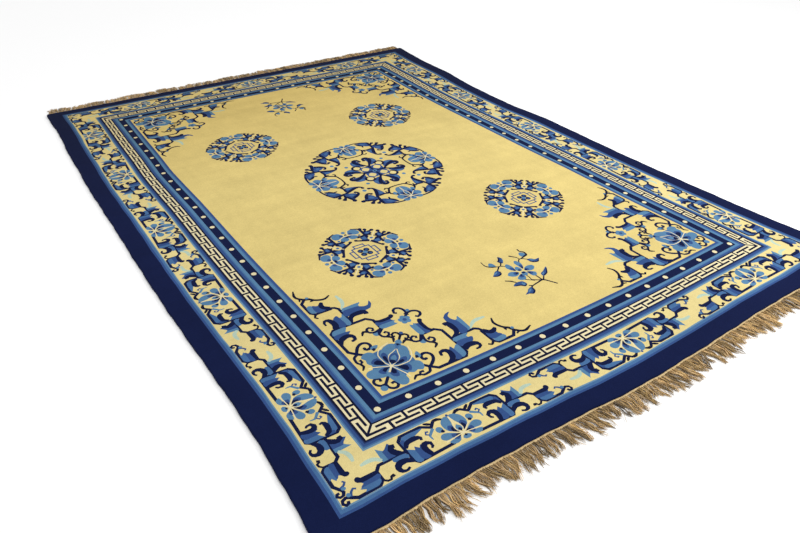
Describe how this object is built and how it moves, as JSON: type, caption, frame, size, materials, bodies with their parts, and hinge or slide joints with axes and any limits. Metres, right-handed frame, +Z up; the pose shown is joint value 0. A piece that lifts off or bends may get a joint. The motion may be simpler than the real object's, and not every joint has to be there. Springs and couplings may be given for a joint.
{
  "type": "chinese rug",
  "caption": "Large hand-knotted wool pile rug lying flat, gold field with blue medallions and nested borders, and a yarn fringe at each short end.",
  "frame": {"origin": "on the floor under the middle of the rug's bounding box, fringes included", "axes": "+X across the rug to its right side, +Y along the rug to its far fringe, +Z up out of the pile"},
  "size_m": [2.542, 3.6506, 0.012],
  "materials": {
    "pile": "matte sheared wool pile with a soft sheen, gold ground with navy, blue and cream pattern",
    "fringe": "matte tan twisted warp yarn"
  },
  "bodies": {
    "root": {"rug_body": "pile", "fringe_near": "fringe", "fringe_far": "fringe"}
  },
  "joints": []
}
